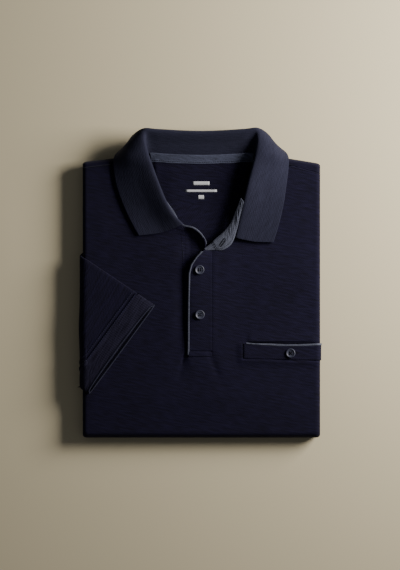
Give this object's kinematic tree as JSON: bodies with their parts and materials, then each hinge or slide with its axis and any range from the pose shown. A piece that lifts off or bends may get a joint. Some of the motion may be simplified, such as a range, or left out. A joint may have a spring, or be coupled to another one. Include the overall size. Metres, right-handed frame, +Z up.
{
  "type": "folded polo shirt",
  "caption": "Short-sleeved pique polo shirt folded flat for a shelf, chest and collar up, with an open placket, a welt pocket and one sleeve laid on the front",
  "frame": {"origin": "on the surface the shirt lies on, under the middle of its bounding box", "axes": "+X to the right of someone looking down on the chest, +Y towards the collar, +Z up off the surface"},
  "size_m": [0.307, 0.3952, 0.0398],
  "materials": {
    "navy_pique": "knitted pique, matt",
    "slate_rib": "flat knitted rib, matt",
    "grey_marl": "marl jersey, matt",
    "dark_button": "polished resin"
  },
  "bodies": {
    "root": {"folded_layers": "navy_pique", "front_panel": "navy_pique", "back_panel": "navy_pique", "collar": "slate_rib", "neck_tape": "grey_marl", "neck_binding": "grey_marl", "under_placket": "navy_pique", "top_placket": "navy_pique", "placket_edge": "grey_marl", "placket_facing": "grey_marl", "sleeve": "navy_pique", "sleeve_band": "navy_pique", "pocket_welt": "navy_pique", "pocket_piping": "grey_marl", "button_1": "dark_button", "button_2": "dark_button", "pocket_button": "dark_button"}
  },
  "joints": []
}
